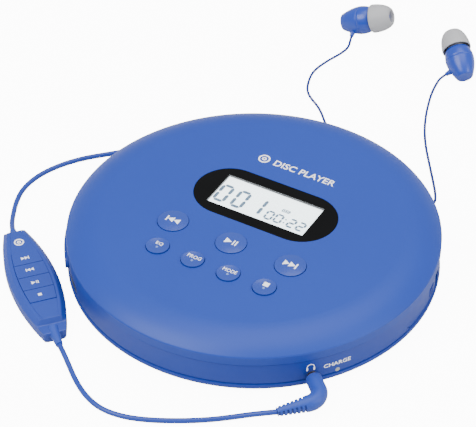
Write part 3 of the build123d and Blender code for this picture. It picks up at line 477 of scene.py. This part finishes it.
# ---------------------------------------------------------------- plug
JACK_ANGLE = -43.2
JACK_Z = 6.0
PLUG_DROOP = 4.0
JACK = (Matrix.Rotation(math.radians(JACK_ANGLE), 4, "Z") @ Matrix.Translation((0, 0, JACK_Z))
        @ Matrix.Rotation(math.radians(PLUG_DROOP), 4, "X"))
PLUG_START = 71.0
ELBOW_OUT = 82.2
ELBOW_BEND = 5.2
STUB = ELBOW_OUT - ELBOW_BEND - PLUG_START
QUARTER = math.pi / 2 * ELBOW_BEND
BOOT_FROM = 6.0
BOOT_TO = 16.8
BOOT_SLOTS = 7
BOOT_R = 2.95
BOOT_TAPER = 1.25
SLOT_DEPTH = 0.95
NOSE = 0.9
PLUG_STEPS = 300
PLUG_SIDES = 64


def plug_path(s):
    """Point and direction on the plug's middle line, s millimetres from its start, in the plug's frame."""
    if s < STUB:
        return Vector((PLUG_START + s, 0, 0)), Vector((1, 0, 0))
    if s < STUB + QUARTER:
        a = (s - STUB) / ELBOW_BEND
        centre = Vector((ELBOW_OUT - ELBOW_BEND, -ELBOW_BEND, 0))
        outward = Vector((math.sin(a), math.cos(a), 0))
        return centre + ELBOW_BEND * outward, Vector((math.cos(a), -math.sin(a), 0))
    return Vector((ELBOW_OUT, -ELBOW_BEND - (s - STUB - QUARTER), 0)), Vector((0, -1, 0))


def plug_radius(s, phi):
    """Rounded at its start, fullest at the elbow, then a tapering boot with slots cut in from both sides."""
    if s < NOSE:
        return 2.35 + 0.6 * math.sqrt(1 - (1 - s / NOSE) ** 2)
    along = ELBOW_BEND + (s - STUB - QUARTER)
    if along < BOOT_FROM:
        return BOOT_R + 0.15 * math.exp(-((s - STUB - QUARTER + 3.4) / 3.6) ** 2)
    t = min(1.0, (along - BOOT_FROM) / (BOOT_TO - BOOT_FROM))
    r = BOOT_R - BOOT_TAPER * t
    in_slot = 0.45 < t * BOOT_SLOTS % 1.0 < 0.92
    return r - SLOT_DEPTH if in_slot and abs(math.cos(phi + 0.35)) > 0.55 else r


plug_rings = []
plug_length = STUB + QUARTER + BOOT_TO - ELBOW_BEND
for step in range(PLUG_STEPS + 1):
    s = plug_length * step / PLUG_STEPS
    middle, ahead = plug_path(s)
    side = Vector((-ahead.y, ahead.x, 0))
    ring = []
    for i in range(PLUG_SIDES):
        phi = 2 * math.pi * i / PLUG_SIDES
        r = plug_radius(s, phi)
        up = Vector((0, 0, 1)) * (r * math.sin(phi))
        ring.append(JACK @ (middle + side * (r * math.cos(phi)) + up))
    plug_rings.append(ring)
points, faces = lofted(plug_rings)
plug = add_mesh("plug_moulding", points, faces, "plug")
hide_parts("plug_body")


# ---------------------------------------------------------------- remote
REMOTE_AT = (-62.8, -54.2, 0)
REMOTE_HEADING = -40.8
REMOTE = Matrix.Translation(REMOTE_AT) @ Matrix.Rotation(math.radians(REMOTE_HEADING), 4, "Z")
REMOTE_L = 58.7
REMOTE_W = 18.4
REMOTE_END_W = 8.2
REMOTE_H = 6.4
REMOTE_BEVEL = 1.9
STEP_AT = 23.2
BAY = (-14.62, 13.62)
BAY_FLOOR = 4.25
BAY_INSET = 3.18
KEY_PITCH = 7.1
RIB_AT = [-11.15 + KEY_PITCH * i + 3.55 for i in range(3)]
ARC_RISE = (REMOTE_W - REMOTE_END_W) / 2
ARC_R = (ARC_RISE ** 2 + (REMOTE_L / 2) ** 2) / (2 * ARC_RISE)


def remote_half_width(x):
    """Half width of the pointed oval at a place along it."""
    return REMOTE_W / 2 - ARC_R + math.sqrt(ARC_R ** 2 - x * x)


def remote_top(x):
    """Height of the top: bevelled at the short relief, stepped down at the long one."""
    start = -REMOTE_L / 2 + REMOTE_BEVEL
    if x < start:
        return REMOTE_H - (start - x)
    if x > STEP_AT:
        return max(4.5, REMOTE_H - 1.9 * (x - STEP_AT) / 1.4)
    return REMOTE_H


def remote_section(x, in_bay, shrink=0.0):
    """Outline across the remote; in the key bay its middle is sunk."""
    w = remote_half_width(x) - shrink
    top = remote_top(x) - 0.6 * shrink
    bay = remote_half_width(x) - BAY_INSET
    bottom = BAY_FLOOR if in_bay else top - 0.01
    half = [(w - 1.2, 0.04 + shrink), (w - 0.35, 0.35 + shrink), (w, 1.2), (w, 3.12), (w - 0.13, 3.17),
            (w - 0.13, 3.33), (w, 3.38), (w, 4.3), (w - 0.16, 4.68), (w - 1.68, 6.2), (w - 2.1, REMOTE_H),
            (bay + 0.14, REMOTE_H), (bay, REMOTE_H - 0.08), (bay, bottom)]
    half = [(y, min(z, top)) for y, z in half]
    return [REMOTE @ Vector((x, y, z)) for y, z in half + [(-y, z) for y, z in reversed(half)]]


# each station: place along the remote, whether it is in the key bay, and how far the outline is drawn in
BAY_STEPS = 40
stations = [(-29.35, False, 0.5), (-29.2, False, 0.15), (-28.9, False, 0.0)]
stations += [(-28.5 + 0.45 * i, False, 0.0) for i in range(31)]
stations += [(BAY[0], False, 0.0), (BAY[0], True, 0.0)]
stations += [(BAY[0] + (BAY[1] - BAY[0]) * i / BAY_STEPS, True, 0.0) for i in range(1, BAY_STEPS)]
stations += [(BAY[1], True, 0.0), (BAY[1], False, 0.0)]
stations += [(14.0 + 0.46 * i, False, 0.0) for i in range(20)]
stations += [(x, False, 0.0) for x in (23.1, 23.25, 23.6, 24.3, 24.5, 24.8, 26.0, 27.5, 28.9)]
stations += [(29.2, False, 0.15), (29.35, False, 0.5)]
points, faces = lofted([remote_section(*station) for station in stations])
for x in RIB_AT:
    half = remote_half_width(x) - 3.3
    first = len(points)
    points += [REMOTE @ Vector((x + dx, dy, z)) for z in (4.2, 6.25) for dx, dy in
               ((-0.06, -half), (0.06, -half), (0.06, half), (-0.06, half))]
    faces += [tuple(first + i for i in face) for face in
              ((4, 5, 6, 7), (0, 4, 7, 3), (1, 2, 6, 5), (0, 1, 5, 4), (2, 3, 7, 6))]
remote_shell = add_mesh("remote_housing", points, faces, "remote", smooth=False)
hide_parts("remote_lower_shell", "remote_upper_shell")


# ---------------------------------------------------------------- earbuds
# each bud: place, heading of its axis, and the side its lead leaves on
BUDS = {"left": ((20.5, 141.4), 132.0, 1), "right": ((-41.9, 151.0), 11.5, -1)}
BUD_TILT = math.radians(20.1)
BUD_Z = 3.6
BUD_EXIT = 6.0
SLEEVE_START = 4.4
SLEEVE_PROFILE = [(0.3, 0), (1.2, 0), (1.15, 1.7), (0.98, 2.0), (0.9, 3.0), (0.75, 3.18), (0.3, 3.2)]
BUD_PROFILE = [(0.3, 0.02), (3.1, 0.02), (3.38, 0.06), (3.56, 0.26), (4.0, 1.15), (4.6, 2.55), (5.1, 3.9),
               (5.52, 5.3), (5.83, 6.7), (6.0, 7.9), (6.03, 8.2), (5.95, 8.26), (5.95, 8.4), (6.04, 8.46),
               (6.05, 9.2), (5.96, 10.3), (5.76, 11.4), (5.5, 12.4), (5.15, 13.2), (4.8, 13.58), (4.4, 13.72),
               (2.4, 13.74), (2.3, 13.9), (2.3, 20.9), (1.9, 21.05), (1.75, 20.7), (0.3, 20.7)]
TIP_PROFILE = [(2.33, 14.6), (3.0, 14.6), (3.15, 16.5), (3.35, 19.3), (3.9, 19.8), (4.6, 18.6), (5.1, 17.0),
               (5.45, 15.3), (5.6, 14.05), (5.78, 13.92), (6.05, 13.96), (6.13, 14.25), (6.1, 15.4),
               (5.93, 17.0), (5.62, 18.6), (5.15, 20.1), (4.5, 21.4), (3.75, 22.35), (3.1, 22.7),
               (2.6, 22.6), (2.33, 22.1)]
for side, ((x, y), heading, turn) in BUDS.items():
    place = Matrix.Translation((x, y, BUD_Z)) @ Matrix.Rotation(math.radians(heading), 4, "Z")
    place = place @ Matrix.Rotation(math.pi / 2 - BUD_TILT, 4, "Y")
    shell = turned(f"{side}_bud_shell", BUD_PROFILE, place, "bud")
    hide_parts(f"{side}_earbud")
    tip = turned(f"{side}_silicone_tip", TIP_PROFILE, place, "tip", closed=True)
    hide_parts(f"{side}_ear_tip")
    axis = Vector((math.cos(math.radians(heading)), math.sin(math.radians(heading)), 0))
    # the lead leaves sideways and 30 degrees down
    out = Vector((-axis.y, axis.x, 0)) * turn * math.cos(math.radians(30)) - Vector((0, 0, 0.5))
    exit_at = place @ Vector((0, 0, BUD_EXIT))
    towards = out.to_track_quat("Z", "Y").to_matrix().to_4x4()
    sleeve_place = Matrix.Translation(exit_at + out * SLEEVE_START) @ towards
    sleeve = turned(f"{side}_bud_sleeve", SLEEVE_PROFILE, sleeve_place, "bud", steps=32)


# ---------------------------------------------------------------- printing
def shape_mesh(polygons, cuts=0):
    """A flat mesh from closed outlines, each a list of (x, y)."""
    built = bmesh.new()
    for outline in polygons:
        built.faces.new([built.verts.new((x, y, 0)) for x, y in outline])
    bmesh.ops.triangulate(built, faces=built.faces[:])
    if cuts:
        bmesh.ops.subdivide_edges(built, edges=built.edges[:], cuts=cuts, use_grid_fill=True)
    mesh = bpy.data.meshes.new("outline")
    built.to_mesh(mesh)
    built.free()
    return mesh


def text_mesh(text, width, height, bold=0.0):
    """Lettering as a flat mesh centred on the origin, scaled to a width and a capital height."""
    curve = bpy.data.curves.new("lettering", "FONT")
    curve.body = text
    curve.resolution_u = 3
    curve.offset = bold
    holder = bpy.data.objects.new("lettering", curve)
    bpy.context.scene.collection.objects.link(holder)
    bpy.context.view_layer.update()
    mesh = bpy.data.meshes.new_from_object(holder)
    bpy.data.objects.remove(holder)
    bpy.data.curves.remove(curve)
    xs = [v.co.x for v in mesh.vertices]
    ys = [v.co.y for v in mesh.vertices]
    for v in mesh.vertices:
        v.co.x = ((v.co.x - min(xs)) / (max(xs) - min(xs)) - 0.5) * width
        v.co.y = ((v.co.y - min(ys)) / (max(ys) - min(ys)) - 0.5) * height
    return mesh


def printed(name, mesh, lay, kind, body, thick=0.05):
    """Puts a flat mesh on a surface: lay turns its (x, y) into a point, in millimetres."""
    for v in mesh.vertices:
        v.co = Vector(lay(v.co.x, v.co.y)) * MM
    for polygon in mesh.polygons:
        polygon.use_smooth = False
    obj = add_object(name, mesh, kind, body)
    modifier = obj.modifiers.new("thickness", "SOLIDIFY")
    modifier.thickness = thick * MM
    modifier.offset = -1
    return obj


def bar(x0, x1, y0, y1):
    """The outline of a rectangle."""
    return [(x0, y0), (x1, y0), (x1, y1), (x0, y1)]


def arrow(x0, x1, half):
    """A triangle whose point is at x1."""
    return [(x0, -half), (x1, 0), (x0, half)] if x1 > x0 else [(x0, half), (x1, 0), (x0, -half)]


def annulus(outer, inner, start=0, end=360, steps=40):
    """Quads of part of a flat ring."""
    quads = []
    for i in range(steps):
        a, b = [math.radians(start + (end - start) * k / steps) for k in (i, i + 1)]
        quads.append([(r * math.cos(t), r * math.sin(t))
                      for r, t in ((inner, a), (outer, a), (outer, b), (inner, b))])
    return quads


def moved(polygons, dx, dy, scale=1.0):
    """The same outlines, scaled and then moved."""
    return [[(x * scale + dx, y * scale + dy) for x, y in outline] for outline in polygons]


ICONS = {
    "previous": [bar(-3.3, -2.6, -1.7, 1.7), arrow(0.4, -2.6, 1.7), arrow(3.3, 0.4, 1.7)],
    "next": [arrow(-3.3, -0.4, 1.7), arrow(-0.4, 2.6, 1.7), bar(2.6, 3.3, -1.7, 1.7)],
    "play": [arrow(-2.9, 0.5, 1.75), bar(1.1, 1.7, -1.6, 1.6), bar(2.4, 3.0, -1.6, 1.6)],
    "stop": [bar(-1.1, 1.1, -1.0, 1.0)],
}
TOP_Z = 22.4
BIG_BALL = 36.0
BIG_RISE = 0.7
SMALL_BALL = 24.0
SMALL_RISE = 0.05
PRINT_LIFT = 0.05
TOP_ICON_SCALE = 0.82
CROWN_R = 57.0
CROWN_FALL = 0.2
KEYS = {"previous_key": (-24.8, -17.0), "play_key": (0, -17.0), "next_key": (24.8, -17.0),
        "equaliser_key": (-22.35, -31.8), "program_key": (-7.45, -31.8), "mode_key": (7.45, -31.8),
        "stop_key": (22.35, -31.8)}


def on_key(key, big):
    """The surface of a key cap: domed on a big one, dished on a small one."""
    cx, cy = KEYS[key]

    def lay(x, y):
        rho = x * x + y * y
        if big:
            z = TOP_Z + BIG_RISE - BIG_BALL + math.sqrt(BIG_BALL ** 2 - rho)
        else:
            z = TOP_Z + SMALL_RISE + SMALL_BALL - math.sqrt(SMALL_BALL ** 2 - rho)
        return (cx + x, cy + y, z + PRINT_LIFT)
    return lay


def shifted_lay(lay, dx, dy):
    """The same surface with the print's origin moved on it."""
    return lambda x, y: lay(x + dx, y + dy)


for icon, key in (("previous", "previous_key"), ("play", "play_key"), ("next", "next_key")):
    outlines = moved(ICONS[icon], 0, 0, TOP_ICON_SCALE)
    printed(f"{icon}_mark", shape_mesh(outlines, 3), on_key(key, True), "print", key)
for text, key, width in (("EQ", "equaliser_key", 2.9), ("PROG", "program_key", 5.6),
                         ("MODE", "mode_key", 5.6)):
    lay = shifted_lay(on_key(key, False), 0, 1.35)
    printed(f"{key}_mark", text_mesh(text, width, 1.65), lay, "print", key)
printed("stop_mark", shape_mesh(ICONS["stop"], 2), shifted_lay(on_key("stop_key", False), 0, 1.5), "print",
        "stop_key")
# raised pips on the small keys; their lighter blue material is a painted highlight
PIP_PROFILE = [(0.08, 0.34), (0.3, 0.3), (0.46, 0.18), (0.55, 0.02), (0.58, -0.1)]
for key in ("equaliser_key", "program_key", "mode_key", "stop_key"):
    x, y = KEYS[key]
    place = Matrix.Translation((x, y - 0.55, TOP_Z + 0.02))
    turned(f"{key}_pip", PIP_PROFILE, place, "pip", key, 24)


def on_crown(x, y):
    """The almost flat crown of the lid."""
    r = math.hypot(x, y)
    return (x, y, TOP_Z - CROWN_FALL * (r / CROWN_R) ** 2 + PRINT_LIFT)


printed("disc_mark", shape_mesh(annulus(2.35, 1.75) + annulus(0.95, 0.42, steps=24)),
        shifted_lay(on_crown, -13.7, 32.0), "print", "lid")
printed("generic_title", text_mesh("DISC PLAYER", 26.0, 3.3, 0.012), shifted_lay(on_crown, 3.9, 31.9),
        "print", "lid")


# ---------------------------------------------------------------- display
WINDOW_Y = 8.5
PANE_Z = 21.42
BEZEL_FOOT = 21.35
BEZEL_TOP = 22.36
RIM_SIZE = (58.0, 27.3)
OPENING_SIZE = (40.7, 17.2)


def stadium_outline(length, width, steps=24):
    """A rectangle with two round ends."""
    r = width / 2
    half = length / 2 - r
    angles = [math.pi * (i / steps - 0.5) for i in range(steps + 1)]
    right = [(half + r * math.cos(a), r * math.sin(a)) for a in angles]
    return right + [(-x, -y) for x, y in right]


def radial_rectangle(outline, length, width):
    """The rectangle's points in the same directions as the outline's points, with its four corners kept."""
    points = []
    for x, y in outline:
        scale = min(length / 2 / max(abs(x), 1e-6), width / 2 / max(abs(y), 1e-6))
        points.append((x * scale, y * scale))
    for cx, cy in ((1, 1), (-1, 1), (-1, -1), (1, -1)):
        corner = (cx * length / 2, cy * width / 2)
        nearest = min(range(len(points)), key=lambda i: math.dist(points[i], corner))
        points[nearest] = corner
    return points


def at_window(outline, z):
    """An outline round the window's middle, at a height."""
    return [(x, y + WINDOW_Y, z) for x, y in outline]


rim = stadium_outline(*RIM_SIZE)
opening = radial_rectangle(rim, *OPENING_SIZE)
rings = [at_window(rim, BEZEL_FOOT), at_window(rim, 22.3),
         at_window([(x * 0.996, y * 0.992) for x, y in rim], BEZEL_TOP),
         at_window(radial_rectangle(rim, 41.0, 17.5), BEZEL_TOP),
         at_window(opening, 22.2), at_window(opening, BEZEL_FOOT)]
points, faces = lofted(rings + rings[:1], (False, False))
bezel = add_mesh("display_bezel", points, faces, "bezel", "lid", smooth=False)
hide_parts("display_window")
pane_rings = [at_window(radial_rectangle(rim, w, h), z) for w, h, z in
              ((41.4, 17.9, 21.3), (41.4, 17.9, PANE_Z), (40.9, 17.4, PANE_Z + 0.02))]
points, faces = lofted(pane_rings)
add_mesh("display_pane", points, faces, "pane", "lid", smooth=False)
cover_rings = [at_window(radial_rectangle(rim, 40.66, 17.16), z) for z in (22.1, 22.34)]
points, faces = lofted(cover_rings)
add_mesh("display_cover", points, faces, "cover", "lid", smooth=False)

SEGMENTS = {"0": "abcdef", "1": "bc", "2": "abged"}


def digit(figure, x, y, width, height, stroke):
    """A seven-segment figure with mitred strokes; x, y is its lower left corner."""
    h, half, s = height, height / 2, stroke / 2
    nodes = {"a": ((0, h), (width, h)), "g": ((0, half), (width, half)), "d": ((0, 0), (width, 0)),
             "f": ((0, half), (0, h)), "b": ((width, half), (width, h)), "e": ((0, 0), (0, half)),
             "c": ((width, 0), (width, half))}
    outlines = []
    for name in SEGMENTS[figure]:
        (x0, y0), (x1, y1) = nodes[name]
        gap = 0.12 * stroke
        if y0 == y1:
            path = [(x0 + gap, y0), (x0 + gap + s, y0 - s), (x1 - gap - s, y0 - s), (x1 - gap, y0),
                    (x1 - gap - s, y0 + s), (x0 + gap + s, y0 + s)]
        else:
            path = [(x0, y0 + gap), (x0 + s, y0 + gap + s), (x0 + s, y1 - gap - s), (x0, y1 - gap),
                    (x0 - s, y1 - gap - s), (x0 - s, y0 + gap + s)]
        outlines.append([(x + px, y + py) for px, py in path])
    return outlines


# 001, then 00:22, its colon, and the outline of a battery with three bars
readout = []
for figure, x in zip("001", (-19.3, -11.9, -4.5)):
    readout += digit(figure, x, 2.8, 4.0, 9.0, 1.3)
for figure, x in zip("0022", (2.6, 6.5, 12.0, 15.9)):
    readout += digit(figure, x, 2.45, 2.6, 4.4, 0.86)
readout += [bar(10.2, 10.8, 3.3, 3.9), bar(10.2, 10.8, 5.2, 5.8)]
readout += [bar(6.6, 9.8, 10.2, 10.5), bar(6.6, 9.8, 8.9, 9.2), bar(6.6, 6.95, 9.2, 10.2),
            bar(9.45, 9.8, 9.2, 10.2), bar(9.8, 10.1, 9.4, 10.0), bar(7.2, 7.8, 9.4, 10.0),
            bar(8.0, 8.6, 9.4, 10.0), bar(8.8, 9.3, 9.4, 10.0)]
printed("display_figures", shape_mesh(readout), lambda x, y: (x, y, PANE_Z + 0.1), "segment", "lid", 0.04)


# ---------------------------------------------------------------- side wall
WALL_R = 69.6
WALL_PRINT_LIFT = 0.04
HEADPHONE_MARK_ANGLE = -43.6
CHARGE_MARK_ANGLE = -35.2


def on_wall(degrees, z):
    """The side of the base: x runs to the right as seen from outside, y up."""
    def lay(x, y):
        return tuple(at_angle(WALL_R + WALL_PRINT_LIFT, degrees + math.degrees(x / WALL_R), z + y))
    return lay


headphones = annulus(1.5, 1.2, -12, 192, 28) + [bar(-1.62, -1.0, -1.5, -0.3), bar(1.0, 1.62, -1.5, -0.3)]
printed("headphone_mark", shape_mesh(headphones), on_wall(HEADPHONE_MARK_ANGLE, 10.0), "print", "base")
printed("charge_mark", text_mesh("CHARGE", 10.6, 1.7, 0.01), on_wall(CHARGE_MARK_ANGLE, 8.8), "print",
        "base")


# ---------------------------------------------------------------- remote's printing
def on_remote(s, t, z=REMOTE_H):
    """Icons read across the remote: x along its short axis, y towards the upper lead."""
    def lay(x, y):
        return tuple(REMOTE @ Vector((s - y, t + x, z + PRINT_LIFT)))
    return lay


REMOTE_KEY_TOP = 6.65
for icon, key, s, scale in (("next", "remote_next_key", -11.1, 0.46),
                            ("previous", "remote_previous_key", -4.2, 0.46),
                            ("play", "remote_play_key", 3.2, 0.46), ("stop", "remote_stop_key", 10.2, 0.62)):
    outlines = moved(ICONS[icon], 0, 0, scale)
    printed(f"remote_{icon}_mark", shape_mesh(outlines), on_remote(s, -0.4, REMOTE_KEY_TOP), "print", key)
printed("remote_disc_mark", shape_mesh(annulus(1.9, 1.35) + annulus(0.8, 0.3, steps=20)),
        on_remote(-20.8, -0.2), "print", "base")


# ---------------------------------------------------------------- leads measured, the lengths are not kept
measured(plug_lead)
measured(main_lead)
measured(left_lead)
measured(right_lead)

bpy.context.view_layer.update()
